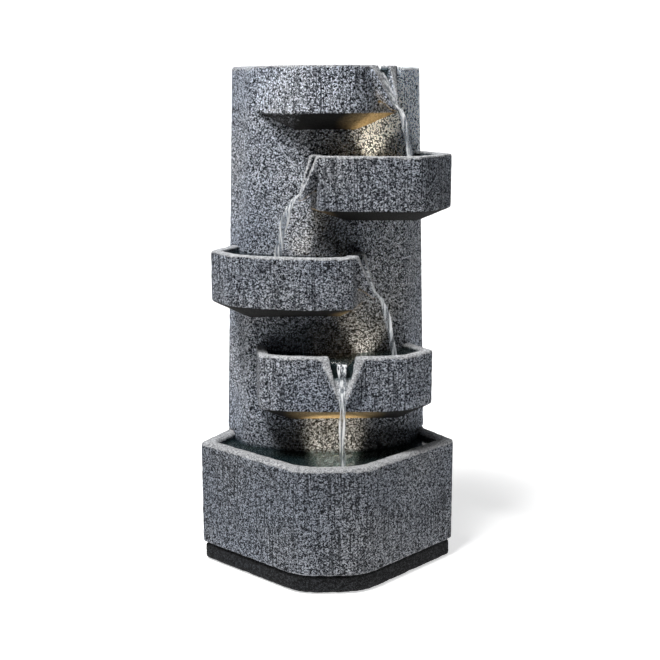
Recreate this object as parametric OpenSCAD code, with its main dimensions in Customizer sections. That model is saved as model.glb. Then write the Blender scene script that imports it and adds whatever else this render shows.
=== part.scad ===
// Tabletop water fountain: a stone-cast basin and tower with four offset bowls.
// Millimetres, +Z up, the front faces -Y. The origin is the middle of the underside.

/* [Overall] */
// Height of the fountain from the table to the top of the tower
total_h = 450; // [400:1:540]
// Width of the basin across its two side corners
basin_w = 234.6; // [212:0.1:280]
// Depth of the fountain from the front facet to the back
total_d = 156; // [150:1:188]

/* [Plinth and feet] */
// Height of the dark plinth above the feet
plinth_h = 14.5; // [10:0.5:20]
// How far the plinth stands back under the basin
plinth_inset = 2; // [1:0.5:6]
// Height of the shadow groove between plinth and basin
groove_h = 1.5; // [1:0.25:3]
// How far the rubber feet stand out of the plinth
foot_stand = 1; // [0.5:0.25:3]
// Radius of each rubber foot
foot_r = 8; // [6:0.5:10]

/* [Basin] */
// Height of the basin rim above the table
rim_z = 113.3; // [95:0.1:136]
// Thickness of the basin wall
basin_wall = 12; // [10:0.5:15]
// Thickness of the basin floor
basin_floor = 8; // [6:0.5:10]
// Width of the front facet of the basin
basin_facet_w = 57; // [45:1:72]

/* [Tower] */
// Width of the tower where it stands on the basin rim
tower_w = 186.6; // [170:0.1:200]
// Width of the tower's top as a share of its foot
tower_taper = 0.907; // [0.88:0.001:1]
// Thickness of the tower's front and side walls
tower_wall = 8; // [6.5:0.5:10]
// Depth of the straight sides at the back of the tower
side_d = 24.4; // [20:0.1:30]
// How far the column's front facet stands behind the front of the basin
column_setback = 70; // [68:1:80]
// Left and right edge of the column's front facet
facet_x = [-19, 29]; // [-30:1:40]
// How far the column's side corners stand in from the sides of the tower
corner_in = 19; // [14:0.5:24]
// How far the column's side corners stand behind its front facet
corner_back = 24; // [20:0.5:28]

/* [Bowls] */
// Thickness of the bowl walls
bowl_wall = 9; // [7:0.5:11]
// Thickness of the bowl floors at their front
bowl_floor = 11; // [9:0.5:14]
// Rim heights of the lower, middle and upper bowl
bowl_rim_z = [203.5, 290.5, 375]; // [150:0.5:480]
// Heights of the front walls of the lower, middle, upper and top bowl
bowl_h = [48.5, 45, 46.5, 39.5]; // [36:0.5:56]
// How far each underside drops from its front edge to the column
soffit_drop = [16, 13, 11, 15]; // [8:0.5:20]

/* [Spouts] */
// Widths across the two lips of each spout, lower bowl to top bowl
spout_w = [40, 32, 25, 38]; // [20:1:48]
// How far the tip of each spout stands out of its bowl
spout_reach = [12, 14.5, 14.5, 14.5]; // [6:0.5:18]
// Drop from a bowl's rim to the tip of its spout
spout_drop = 35; // [28:0.5:38]
// Width of a spout's tip
spout_tip_w = 9; // [6:0.5:12]
// Widths of the channels between the lips, lower bowl to top bowl
channel_w = [23, 15, 12, 18]; // [8:1:26]
// Depth of a spout's channel where it leaves the bowl
channel_depth = 6; // [4:0.5:9]

/* [Lamps] */
// Radius of a lamp
lamp_r = 8; // [6:0.25:9]
// Height of a lamp housing
lamp_h = 9; // [7:0.5:12]
// Radius of a lamp's lead
lead_r = 1.5; // [1:0.1:2]
// Radius of the hole for a lead's rubber grommet
grommet_r = 3.5; // [3:0.1:4.5]

/* [Pump] */
// Width of the pump
pump_w = 46; // [42:1:54]
// Height of the pump without its feet
pump_h = 38; // [36:1:44]
// Depth of the pump's motor block
motor_d = 34; // [28:1:35]
// Depth of the pump's volute
volute_d = 13; // [11:0.5:14]
// Radius of the rotor chamber
rotor_bore_r = 9; // [7.5:0.25:10]
// Outer radius of the pump's outlet, which the riser tube slips over
outlet_r = 4.5; // [4:0.25:5]
// Wall of the riser tube
tube_wall = 1.6; // [1.2:0.1:2]

/* [Service] */
// Thickness of the rear cover and its door
cover_t = 4; // [3.5:0.25:5]
// Width of the access door
door_w = 84; // [60:1:90]
// Height of the access door
door_h = 92; // [70:1:98]
// Clearance around the door
door_gap = 1; // [0.75:0.05:1.5]
// Radius of the hole through the cable grommet
cable_r = 3; // [2:0.25:3.5]
// Radius of the drain bore
drain_r = 6; // [4:0.5:7]

/* [Hidden] */
$fn = 48;
eps = 0.02;
run_clear = 0.05;
slip = 0.3;

// Main levels and planes.
front_y = -total_d / 2;
back_y = total_d / 2;
plinth_top = foot_stand + plinth_h;
basin_bottom = plinth_top + groove_h;
floor_z = basin_bottom + basin_floor;
column_y = front_y + column_setback;
shoulder_y = back_y - side_d;
flange_t = 6;
screw_head_h = 2;
cover_back = back_y - screw_head_h;
cover_front = cover_back - cover_t;
tower_inner_back = cover_front - flange_t;
rims = concat(bowl_rim_z, [total_h]);

// ---- Plan outlines, as corners in order with the front first ----

function unit(v) = v / norm(v);
function inward(a, b) = let(d = unit(b - a)) [-d.y, d.x];

// Moves every edge inward by its own distance.
function inset(p, w) = let(n = len(p)) [for (i = [0:n - 1])
    let(a = p[(i + n - 1) % n], b = p[i], c = p[(i + 1) % n],
        wa = is_list(w) ? w[(i + n - 1) % n] : w,
        wb = is_list(w) ? w[i] : w,
        na = inward(a, b), nb = inward(b, c), k = na * nb)
    b + (wa * (na - nb * k) + wb * (nb - na * k)) / (1 - k * k)];

// Rounds every corner with a curve that starts at distance r from it.
function rounded(p, r, steps = 4) = let(n = len(p)) [for (i = [0:n - 1])
    let(a = p[(i + n - 1) % n], b = p[i], c = p[(i + 1) % n],
        t = is_list(r) ? r[i] : r,
        reach = min(t, norm(a - b) * 0.48, norm(c - b) * 0.48),
        from = b + reach * unit(a - b), to = b + reach * unit(c - b))
    for (s = [0:steps]) let(u = s / steps)
        (1 - u) * (1 - u) * from + 2 * u * (1 - u) * b + u * u * to];

basin_corners = let(f = basin_facet_w / 2, h = basin_w / 2, t = tower_w / 2,
                    corner_y = front_y + h - f)
    [[-f, front_y], [f, front_y], [h, corner_y], [t, shoulder_y],
     [t, back_y], [-t, back_y], [-t, shoulder_y], [-h, corner_y]];
basin_rounding = [15, 15, 4, 6, 3, 3, 6, 4];

tower_corners = let(t = tower_w / 2, c = t - corner_in, corner_y = column_y + corner_back)
    [[facet_x[0], column_y], [facet_x[1], column_y], [c, corner_y], [t, shoulder_y],
     [t, back_y], [-t, back_y], [-t, shoulder_y], [-c, corner_y]];
tower_rounding = [5, 5, 5, 3, 3, 3, 3, 5];
back_wall = back_y - tower_inner_back;
tower_walls = [tower_wall, tower_wall, tower_wall, tower_wall,
               back_wall, tower_wall, tower_wall, tower_wall];

// How much the tower has narrowed at a height.
function taper_at(z) = 1 - (1 - tower_taper) * (z - rim_z) / (total_h - rim_z);

// Bowl outlines, measured from the column's front facet, ry. The corners behind that
// facet only close the shape. A spout stands on the edge that starts at corner number
// spout_edge.
ry = column_y;
bowl_corners = [
    [[-61, ry - 25], [-38, ry - 33.5], [-10, ry - 37.5], [46, ry - 38], [69, ry - 33],
     [93, ry - 8], [77, ry + 22], [60, ry + 48], [-60, ry + 48], [-65, ry + 18]],
    [[-104, ry + 12], [-86, ry - 19], [-58, ry - 33], [-26, ry - 42], [-6, ry - 45],
     [19, ry - 41], [33, ry + 6], [20, ry + 40], [-70, ry + 60], [-87, ry + 50]],
    [[-8, ry - 30], [16, ry - 34], [42, ry - 38], [77, ry - 40], [93, ry - 20],
     [109, ry + 10], [90, ry + 52], [60, ry + 58], [0, ry + 40], [-19, ry + 10]],
    [[-48, ry + 5], [-33, ry - 16], [-14, ry - 30], [8, ry - 34], [24, ry - 33],
     [34, ry - 24], [59, ry + 8], [64, ry + 40], [-60, ry + 40], [-62, ry + 19]],
];
bowl_rounding = [
    [2, 8, 8, 6, 8, 3, 3, 2, 2, 2],
    [2, 8, 8, 8, 8, 3, 2, 2, 2, 3],
    [2, 8, 8, 7, 5, 3, 3, 2, 2, 2],
    [12, 11, 9, 7, 6, 2, 2, 2, 2, 2],
];
spout_edge = [2, 5, 9, 5];
// Where along that edge the middle of the spout stands.
spout_along = [0.366, 0.5, 0.66, 0.46];
// Left and right end of each underside's deepest line.
keel_x = [[-35, 62], [-70, 10], [16, 78], [-28, 24]];
bowl_names = ["bowl_lower", "bowl_middle", "bowl_upper", "bowl_top"];

// Lamps 1 to 3 stand in the lower, middle and upper bowl, lamp 4 in the basin.
lamp_places = [
    [36, ry - 15, rims[0] - bowl_h[0] + bowl_floor],
    [-30, ry - 16, rims[1] - bowl_h[1] + bowl_floor],
    [43, ry - 15, rims[2] - bowl_h[2] + bowl_floor],
    [5, ry - 26, floor_z],
];
lead_rise = 4.5;
socket_depth = 2;
// Hand-set points of each lamp's lead on its way to the junction box.
lead_points = [
    [[37, 24, 172], [42, 34, 186], [43, 46, 210], [40, 58, 226]],
    [[-29, 24, 260], [-16, 38, 254], [4, 42, 248], [22, 48, 230], [33, 57, 225]],
    [[44, 24, 342], [48, 36, 312], [52, 40, 270], [50, 43, 236], [48, 52, 222], [46, 59, 226]],
    [[38, -31, 27], [52, -16, 27], [56, 2, 27], [57, 20, 27], [58, 32, 29], [58, 38, 48],
     [57, 43, 95], [54, 46, 150], [50, 50, 205], [51, 59, 226]],
];
pump_lead_points = [[28, 53, 106], [48, 54, 156], [60, 57, 205], [57, 60, 228]];
// Hole of the junction box that each lamp's lead enters.
lead_hole = [1, 0, 2, 3];

// Pump places.
pump_foot_h = 3;
pump_z = floor_z + pump_foot_h;
pump_axis_z = pump_z + pump_h / 2;
motor_back = tower_inner_back - 2;
motor_front = motor_back - motor_d;
volute_front = motor_front - volute_d;
grille_t = 6;
grille_front = volute_front - grille_t;
riser_y = (motor_front + volute_front) / 2;
outlet_top = pump_z + pump_h + 13;
elbow_z = total_h - 18;
elbow_arm_r = 5;
shaft_r = 1;
impeller_r = 12;
chamber_r = 15;

// Service places.
cover_margin = 6;
window_x = tower_w / 2 * tower_taper - tower_wall - 8;
window_z = [rim_z + 11, total_h - 18];
door_z = window_z[0] + 6;
hinge_r = cover_t / 2;
hinge_x = -door_w / 2 + hinge_r;
hinge_y = cover_back - hinge_r;
pin_r = 1.1;
pin_l = 8;
gasket_t = 1.5;
cable_x = 56;
cable_z = door_z + 12;
drain_z = floor_z + drain_r + 2;
drain_head_r = drain_r + 3;
drain_head_t = 3;
drain_seal_t = 1;
box_lo = [30, cover_front - 20, rim_z + 127];
box_hi = [62, cover_front, rim_z + 163];

// ---- Shared solids ----

module plan(points, z0, z1) {
    translate([0, 0, z0]) linear_extrude(z1 - z0) polygon(points);
}

// The tower's outside, or its hollow, from the rim to the top.
module tower_mass(points, z0, z1) {
    intersection() {
        translate([0, 0, rim_z])
            linear_extrude(total_h + 10 - rim_z, scale = [taper_at(total_h + 10), 1], slices = 1)
                polygon(points);
        translate([-tower_w, -tower_w, z0]) cube([2 * tower_w, 2 * tower_w, z1 - z0]);
    }
}

function tower_outline() = rounded(tower_corners, tower_rounding);
function tower_hollow() = inset(tower_corners, tower_walls);

module along_y(x, y0, y1, z, r) {
    translate([x, y0, z]) rotate([-90, 0, 0]) cylinder(r = r, h = y1 - y0);
}

module along_x(x0, x1, y, z, r) {
    translate([x0, y, z]) rotate([0, 90, 0]) cylinder(r = r, h = x1 - x0);
}

// The bowl lamps' leads pass through the column; the basin lamp's goes by the right gate.
module lead_bores() {
    for (i = [0:2]) let(p = lamp_places[i])
        along_y(p.x, p.y + lamp_r, riser_y, p.z + lead_rise, grommet_r);
}

// ---- Plinth, feet and basin ----

foot_places = [[-80, 10], [80, 10], [-75, back_y - 16], [75, back_y - 16], [0, front_y + 18]];
foot_pocket = 1;

module rubber_feet() {
    color([0.10, 0.10, 0.11])
        for (p = foot_places)
            translate([p.x, p.y, 0]) cylinder(r = foot_r, h = foot_stand + foot_pocket);
}

module plinth() {
    color([0.13, 0.14, 0.15]) difference() {
        union() {
            plan(rounded(inset(basin_corners, plinth_inset), basin_rounding),
                 foot_stand, plinth_top);
            plan(inset(basin_corners, plinth_inset + 4), plinth_top - eps, basin_bottom);
        }
        for (p = foot_places)
            translate([p.x, p.y, foot_stand - 1]) cylinder(r = foot_r, h = 1 + foot_pocket);
    }
}

module basin() {
    color([0.42, 0.44, 0.47]) difference() {
        plan(rounded(basin_corners, basin_rounding), basin_bottom, rim_z);
        plan(rounded(inset(basin_corners, basin_wall), basin_rounding), floor_z, rim_z + 1);
        along_y(0, back_y - basin_wall - 1, back_y + 1, drain_z, drain_r);
        along_y(0, back_y - drain_head_t - drain_seal_t, back_y + 1, drain_z, drain_head_r + 1);
    }
}

module drain_plug() {
    color([0.12, 0.12, 0.13]) difference() {
        union() {
            along_y(0, back_y - drain_head_t, back_y, drain_z, drain_head_r);
            along_y(0, back_y - basin_wall, back_y - drain_head_t + eps, drain_z,
                    drain_r - run_clear);
        }
        translate([-drain_head_r + 3, back_y - 1.5, drain_z - 1])
            cube([2 * drain_head_r - 6, 2, 2]);
    }
}

module drain_seal() {
    color([0.08, 0.08, 0.08]) difference() {
        along_y(0, back_y - drain_head_t - drain_seal_t, back_y - drain_head_t, drain_z,
                drain_head_r);
        along_y(0, back_y - basin_wall, back_y, drain_z, drain_r - run_clear);
    }
}

// ---- Tower ----

gate_w = 30;
gate_h = 20;

module tower_shell() {
    color([0.45, 0.46, 0.49]) difference() {
        union() {
            tower_mass(tower_outline(), rim_z, total_h);
            intersection() {
                plan(tower_outline(), floor_z, rim_z + eps);
                plan(inset(basin_corners, basin_wall), floor_z - 1, rim_z + 1);
            }
        }
        tower_mass(tower_hollow(), rim_z - 1, total_h + 1);
        plan(tower_hollow(), floor_z - 1, rim_z + 1);
        // Two gates at the foot let the water through to the pump.
        for (x = [-52, 60])
            translate([x - gate_w / 2, column_y - 10, floor_z - 1])
                cube([gate_w, corner_back + 20, gate_h + 1]);
        // The rear window and the seat of its cover.
        translate([-window_x, tower_inner_back - 1, window_z[0]])
            cube([2 * window_x, 30, window_z[1] - window_z[0]]);
        translate([-window_x - cover_margin, cover_front, window_z[0] - cover_margin])
            cube([2 * (window_x + cover_margin), 30,
                  window_z[1] - window_z[0] + 2 * cover_margin]);
        for (p = screw_places) along_y(p.x, cover_front - 5.5, cover_front + 1, p.y, 1.5);
        lead_bores();
        along_y(0, column_y - 2, column_y + tower_wall + 2, elbow_z, elbow_arm_r);
    }
}

module tower_cap() {
    color([0.45, 0.46, 0.49]) tower_mass(tower_hollow(), total_h - 6, total_h);
}

// ---- Bowls ----

function spout_origin(i) = let(p = bowl_corners[i], a = p[spout_edge[i]],
    b = p[(spout_edge[i] + 1) % len(p)]) a + spout_along[i] * (b - a);
function spout_turn(i) = let(p = bowl_corners[i], a = p[spout_edge[i]],
    b = p[(spout_edge[i] + 1) % len(p)], d = b - a) atan2(d.y, d.x);

// Places a shape on a spout's edge: its own -Y then points out of the bowl.
module on_spout(i) {
    o = spout_origin(i);
    translate([o.x, o.y, rims[i]]) rotate([0, 0, spout_turn(i)]) children();
}

module slab(w, y, z0, z1) {
    translate([-w / 2, y, z0]) cube([w, 0.2, z1 - z0]);
}

module spout_beak(i) {
    on_spout(i) hull() {
        slab(spout_w[i], 1, -7, 0);
        slab(spout_w[i], -1.5, -7, 0);
        slab(spout_w[i] * 0.45, 1, -spout_drop * 0.8, 0);
        slab(spout_tip_w, -spout_reach[i], -spout_drop - 4, -spout_drop + 1);
    }
}

module spout_channel(i) {
    on_spout(i) {
        hull() {
            slab(channel_w[i], bowl_wall + 2, -channel_depth, 1);
            slab(channel_w[i], 0, -channel_depth - 1, 1);
            slab(spout_tip_w - 4, -spout_reach[i] - 1, -spout_drop - 1, 1);
        }
    }
}

module bowl_mass(i) {
    z0 = rims[i] - bowl_h[i];
    outline = rounded(bowl_corners[i], bowl_rounding[i]);
    plan(outline, z0, rims[i]);
    hull() {
        plan(outline, z0, z0 + 0.2);
        translate([keel_x[i][0], ry, z0 - soffit_drop[i]])
            cube([keel_x[i][1] - keel_x[i][0], 30, 0.2]);
    }
}

module bowl(i) {
    color([0.42, 0.44, 0.47]) difference() {
        union() {
            bowl_mass(i);
            spout_beak(i);
        }
        plan(rounded(inset(bowl_corners[i], bowl_wall), 4),
             rims[i] - bowl_h[i] + bowl_floor, rims[i] + 1);
        spout_channel(i);
        tower_mass(tower_outline(), rim_z, total_h + 5);
    }
}

module bowl_lower() { bowl(0); }
module bowl_middle() { bowl(1); }
module bowl_upper() { bowl(2); }
module bowl_top() { bowl(3); }

// ---- Rear cover and access door ----

screw_places = [for (x = [-1, 1], k = [0:2])
    [x * (window_x + cover_margin / 2),
     window_z[0] + 20 + k * (window_z[1] - window_z[0] - 40) / 2]];

module rear_cover() {
    color([0.16, 0.16, 0.17]) difference() {
        translate([-window_x - cover_margin + slip, cover_front,
                   window_z[0] - cover_margin + slip])
            cube([2 * (window_x + cover_margin - slip), cover_t,
                  window_z[1] - window_z[0] + 2 * (cover_margin - slip)]);
        translate([-door_w / 2 - door_gap, cover_front - 1, door_z - door_gap])
            cube([door_w + 2 * door_gap, cover_t + 2, door_h + 2 * door_gap]);
        for (p = screw_places) along_y(p.x, cover_front - 1, cover_back + 1, p.y, 1.5);
        along_y(cable_x, cover_front - 1, cover_back + 1, cable_z, cable_r + 2);
        translate([hinge_x, hinge_y, door_z - pin_l])
            cylinder(r = pin_r, h = door_h + 2 * pin_l);
    }
}

module cover_screws() {
    color([0.62, 0.63, 0.65]) for (p = screw_places) difference() {
        union() {
            along_y(p.x, cover_back, back_y, p.y, 2.8);
            along_y(p.x, cover_front - 5, cover_back + eps, p.y, 1.5);
        }
        for (a = [0, 90])
            translate([p.x, back_y, p.y]) rotate([0, a, 0])
                translate([-2, -1, -0.4]) cube([4, 2, 0.8]);
    }
}

module door_gasket() {
    m = 5;
    color([0.07, 0.07, 0.07]) difference() {
        translate([-door_w / 2 - m, cover_front - gasket_t - 0.2, door_z - m])
            cube([door_w + 2 * m, gasket_t, door_h + 2 * m]);
        translate([-door_w / 2 + m, cover_front - gasket_t - 1, door_z + m])
            cube([door_w - 2 * m, gasket_t + 2, door_h - 2 * m]);
    }
    // Glued land that carries the seal on the cover.
    color([0.07, 0.07, 0.07]) difference() {
        translate([-door_w / 2 - m, cover_front - 0.3, door_z - m])
            cube([door_w + 2 * m, 0.3, door_h + 2 * m]);
        translate([-door_w / 2 - door_gap, cover_front - 1, door_z - door_gap])
            cube([door_w + 2 * door_gap, 2, door_h + 2 * door_gap]);
    }
}

module access_door() {
    color([0.19, 0.19, 0.20]) difference() {
        union() {
            translate([hinge_x, cover_front, door_z])
                cube([door_w - hinge_r, cover_t, door_h]);
            translate([hinge_x, hinge_y, door_z]) cylinder(r = hinge_r, h = door_h);
        }
        translate([hinge_x, hinge_y, door_z - 1])
            cylinder(r = pin_r + run_clear, h = door_h + 2);
        // Finger recess at the free edge.
        translate([door_w / 2 - 14, cover_back - 2, door_z + door_h / 2 - 12])
            cube([16, 3, 24]);
    }
}

module door_pins() {
    color([0.70, 0.71, 0.72]) for (z = [door_z - pin_l + 1, door_z + door_h - pin_l])
        translate([hinge_x, hinge_y, z]) cylinder(r = pin_r, h = 2 * pin_l - 1);
}

// ---- Pump ----

module pump_body() {
    color([0.10, 0.10, 0.11]) difference() {
        translate([0, motor_back, pump_z]) rotate([90, 0, 0])
            linear_extrude(motor_d)
                polygon(rounded([[pump_w / 2, 0], [pump_w / 2, pump_h],
                                 [-pump_w / 2, pump_h], [-pump_w / 2, 0]], 5));
        along_y(0, motor_front - 1, motor_back - 6, pump_axis_z, rotor_bore_r);
        along_y(0, motor_front, motor_back - 2, pump_axis_z, shaft_r);
    }
}

module pump_volute() {
    color([0.12, 0.12, 0.13]) difference() {
        union() {
            translate([0, motor_front, pump_z]) rotate([90, 0, 0])
                linear_extrude(volute_d)
                    polygon(rounded([[pump_w / 2, 0], [pump_w / 2, pump_h],
                                     [-pump_w / 2, pump_h], [-pump_w / 2, 0]], 5));
            translate([0, riser_y, pump_z + pump_h - 1])
                cylinder(r = outlet_r, h = outlet_top - pump_z - pump_h + 1);
        }
        along_y(0, volute_front + 2, motor_front + 1, pump_axis_z, chamber_r);
        difference() {
            along_y(0, volute_front - 1, volute_front + 3, pump_axis_z, 6);
            translate([-7, volute_front, pump_axis_z - 1]) cube([14, 2, 2]);
            along_y(0, volute_front, volute_front + 2, pump_axis_z, 2.5);
        }
        along_y(0, volute_front - 1, volute_front + 3, pump_axis_z, shaft_r);
        translate([0, riser_y, pump_axis_z]) cylinder(r = 3, h = 100);
        along_x(chamber_r - 1, pump_w / 2 + 1, riser_y, pump_axis_z, 2 + run_clear);
    }
}

module pump_grille() {
    color([0.14, 0.14, 0.15]) difference() {
        translate([0, volute_front, pump_z + slip]) rotate([90, 0, 0])
            linear_extrude(grille_t)
                polygon(rounded([[pump_w / 2, 0], [pump_w / 2, pump_h - 2 * slip],
                                 [-pump_w / 2, pump_h - 2 * slip], [-pump_w / 2, 0]], 5));
        translate([-pump_w / 2 + 3, grille_front + 2, pump_z + 3.5])
            cube([pump_w - 6, grille_t, pump_h - 7]);
        for (k = [-3:3])
            translate([k * 5.6 - 1.2, grille_front - 1, pump_z + 6])
                cube([2.4, 4, pump_h - 12]);
    }
}

module pump_rotor() {
    color([0.25, 0.25, 0.27]) difference() {
        union() {
            along_y(0, motor_front + 1, motor_back - 7, pump_axis_z, rotor_bore_r - 0.6);
            along_y(0, motor_front - 1.5, motor_front + 1 + eps, pump_axis_z, 5);
            along_y(0, motor_front - 3, motor_front - 1.5 + eps, pump_axis_z, impeller_r);
            along_y(0, volute_front + 3, motor_front - 3 + eps, pump_axis_z, 3.2);
            for (a = [0:60:359])
                translate([0, volute_front + 4, pump_axis_z]) rotate([0, a, 0])
                    translate([2, 0, -0.7]) cube([impeller_r - 3, volute_d - 7 + eps, 1.4]);
        }
        along_y(0, volute_front, motor_back, pump_axis_z, shaft_r + run_clear);
    }
}

module pump_shaft() {
    color([0.85, 0.85, 0.83]) along_y(0, volute_front, motor_back - 2, pump_axis_z, shaft_r);
}

module flow_dial() {
    color([0.75, 0.76, 0.77]) difference() {
        union() {
            along_x(pump_w / 2 + slip, pump_w / 2 + 3.3, riser_y, pump_axis_z, 6);
            along_x(chamber_r + 1, pump_w / 2 + slip + eps, riser_y, pump_axis_z, 2);
        }
        translate([pump_w / 2 + 2.3, riser_y - 5, pump_axis_z - 0.6]) cube([2, 10, 1.2]);
    }
}

module pump_feet() {
    color([0.20, 0.20, 0.21])
        for (x = [-1, 1], y = [motor_front + 6, motor_back - 6])
            translate([x * (pump_w / 2 - 7), y, floor_z])
                cylinder(r1 = 5.5, r2 = 3.5, h = pump_foot_h);
}

// ---- Riser ----

module riser_tube() {
    color([0.80, 0.84, 0.84]) difference() {
        translate([0, riser_y, pump_z + pump_h + 0.5])
            cylinder(r = outlet_r + tube_wall, h = elbow_z - 12 - pump_z - pump_h - 0.5);
        translate([0, riser_y, pump_z]) cylinder(r = outlet_r, h = total_h);
    }
}

module riser_clips() {
    clip_w = 8;
    color([0.20, 0.20, 0.21]) for (z = [rim_z + 77, rim_z + 217])
        difference() {
            union() {
                translate([0, riser_y, z])
                    cylinder(r = outlet_r + tube_wall + 2, h = clip_w);
                translate([-3, column_y + tower_wall, z])
                    cube([6, riser_y - outlet_r - tube_wall - column_y - tower_wall, clip_w]);
            }
            translate([0, riser_y, z - 1])
                cylinder(r = outlet_r + tube_wall, h = clip_w + 2);
        }
}

module outlet_elbow() {
    color([0.15, 0.15, 0.16]) difference() {
        union() {
            translate([0, riser_y, elbow_z - 22]) cylinder(r = outlet_r, h = 22);
            translate([0, riser_y, elbow_z - 12])
                cylinder(r = outlet_r + tube_wall, h = 14 + elbow_arm_r);
            along_y(0, column_y - 5, riser_y, elbow_z, elbow_arm_r);
        }
        translate([0, riser_y, elbow_z - 23]) cylinder(r = 3, h = 24);
        along_y(0, column_y - 6, riser_y + 1, elbow_z, 3.3);
    }
}

// ---- Wiring ----

module junction_box() {
    color([0.22, 0.22, 0.23]) difference() {
        translate(box_lo) cube(box_hi - box_lo);
        translate(box_lo + [2, -1, 2]) cube(box_hi - box_lo - [4, 1, 4]);
        for (k = [0:4])
            translate([box_lo.x + 5 + 5.4 * k, box_lo.y + 8, box_lo.z - 1])
                cylinder(r = lead_r + 0.05, h = 4);
    }
}

module junction_lid() {
    color([0.26, 0.26, 0.27])
        translate([box_lo.x, box_lo.y - 2.5, box_lo.z])
            cube([box_hi.x - box_lo.x, 2.5, box_hi.z - box_lo.z]);
}

module cable_grommet() {
    color([0.08, 0.08, 0.08]) difference() {
        union() {
            along_y(cable_x, cover_back, back_y, cable_z, cable_r + 4);
            along_y(cable_x, cover_front - 2.5, cover_back + eps, cable_z, cable_r + 2);
            along_y(cable_x, cover_front - 2.5, cover_front, cable_z, cable_r + 3.5);
        }
        along_y(cable_x, cover_front - 3, back_y + 1, cable_z, cable_r);
    }
}

// A smooth run through hand-set points: each stretch is a cubic between neighbours.
function smooth(p, steps = 3) = let(n = len(p)) concat(
    [for (i = [0:n - 2])
        let(a = p[max(i - 1, 0)], b = p[i], c = p[i + 1], d = p[min(i + 2, n - 1)])
        for (s = [0:steps - 1]) let(u = s / steps)
            0.5 * (2 * b + (c - a) * u + (2 * a - 5 * b + 4 * c - d) * u * u
                   + (3 * b - a - 3 * c + d) * u * u * u)],
    [p[n - 1]]);

// A round tube swept along a run.
module sweep(run, r, sides = 8) {
    n = len(run);
    side_dir = unit([0.83, 0.31, 0.46]);
    rings = [for (i = [0:n - 1])
        let(t = unit(run[min(i + 1, n - 1)] - run[max(i - 1, 0)]),
            u = unit(cross(t, side_dir)), v = cross(t, u))
        for (k = [0:sides - 1]) run[i] + r * (cos(360 * k / sides) * u
                                              + sin(360 * k / sides) * v)];
    quads = [for (i = [0:n - 2], k = [0:sides - 1]) let(m = (k + 1) % sides)
        [i * sides + k, (i + 1) * sides + k, (i + 1) * sides + m, i * sides + m]];
    ends = [[for (k = [0:sides - 1]) k], [for (k = [sides - 1:-1:0]) (n - 1) * sides + k]];
    polyhedron(rings, concat(quads, ends));
}

// Where hole number k of the junction box is.
function box_entry(k) = [box_lo.x + 5 + 5.4 * k, box_lo.y + 8, box_lo.z];
function into_box(k) = [box_entry(k) - [0, 0, 6], box_entry(k) + [0, 0, 3]];

// A bowl lamp's lead runs straight back through its grommet. The basin lamp's runs
// along the basin floor. Then both follow their hand-set points up into the box.
function lead_start(i) = let(p = lamp_places[i], reach = lamp_r - socket_depth + 0.5)
    p + [i == 3 ? reach : 0, i == 3 ? 0 : reach, lead_rise];
function lead_run(i) = let(s = lead_start(i)) concat(
    i == 3 ? [s, s + [8, 0, -1]] : [s, [s.x, 0, s.z], [s.x, 13, s.z], [s.x, 18, s.z]],
    lead_points[i], into_box(lead_hole[i]));

module lamp_lead(i) {
    color([0.06, 0.06, 0.06]) sweep(smooth(lead_run(i)), lead_r);
}

module pump_lead() {
    color([0.06, 0.06, 0.06])
        sweep(smooth(concat([[14, motor_back - 10, pump_z + pump_h],
                             [14, motor_back - 10, pump_z + pump_h + 14]],
                            pump_lead_points, into_box(4))), lead_r);
}

module lead_grommets() {
    color([0.08, 0.08, 0.08]) for (i = [0:2]) {
        p = lamp_places[i];
        k = taper_at(max(p.z, rim_z));
        facet_end = facet_reach(p.x) * k;
        corner_end = (tower_w / 2 - corner_in) * k;
        face_y = column_y
                 + corner_back * max(0, (abs(p.x) - facet_end) / (corner_end - facet_end));
        difference() {
            along_y(p.x, face_y - 1.5, face_y + tower_wall + 3, p.z + lead_rise, grommet_r);
            along_y(p.x, face_y - 3, face_y + tower_wall + 5, p.z + lead_rise,
                    lead_r + 3 * run_clear);
        }
    }
}
function facet_reach(x) = x < 0 ? -facet_x[0] : facet_x[1];

// ---- Lamps ----

module lamp_housing(i) {
    color([0.20, 0.20, 0.21]) translate(lamp_places[i]) difference() {
        cylinder(r = lamp_r, h = lamp_h);
        translate([0, 0, lamp_h - 2]) cylinder(r = lamp_r - 1.5, h = 3);
        rotate([0, 0, i == 3 ? -90 : 0])
            along_y(0, lamp_r - socket_depth, lamp_r + 1, lead_rise, lead_r + run_clear);
    }
}

module lamp_lens(i) {
    p = lamp_places[i];
    color([1.0, 0.85, 0.55]) translate(p + [0, 0, lamp_h - 2]) {
        cylinder(r = lamp_r - 1.5, h = 2);
        translate([0, 0, 2]) cylinder(r1 = lamp_r - 1.5, r2 = lamp_r - 3.5, h = 1.2);
    }
}

rubber_feet();
plinth();
basin();
tower_shell();
tower_cap();
bowl_lower();
bowl_middle();
bowl_upper();
bowl_top();
rear_cover();
cover_screws();
door_gasket();
access_door();
door_pins();
pump_body();
pump_volute();
pump_grille();
pump_rotor();
pump_shaft();
flow_dial();
pump_feet();
riser_tube();
riser_clips();
outlet_elbow();
junction_box();
junction_lid();
pump_lead();
cable_grommet();
drain_plug();
drain_seal();
lead_grommets();
for (i = [1:4]) {
    lamp_housing(i - 1);
    lamp_lens(i - 1);
    lamp_lead(i - 1);
}
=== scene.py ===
"""Looks of a tabletop water fountain.

Worn cast stone, falling water, warm lamps, and the service parts behind them.
"""
import logging
import math
from dataclasses import dataclass, field
from enum import Enum

import bmesh
import bpy
from mathutils import Matrix, Vector, noise
from mathutils.bvhtree import BVHTree


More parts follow.
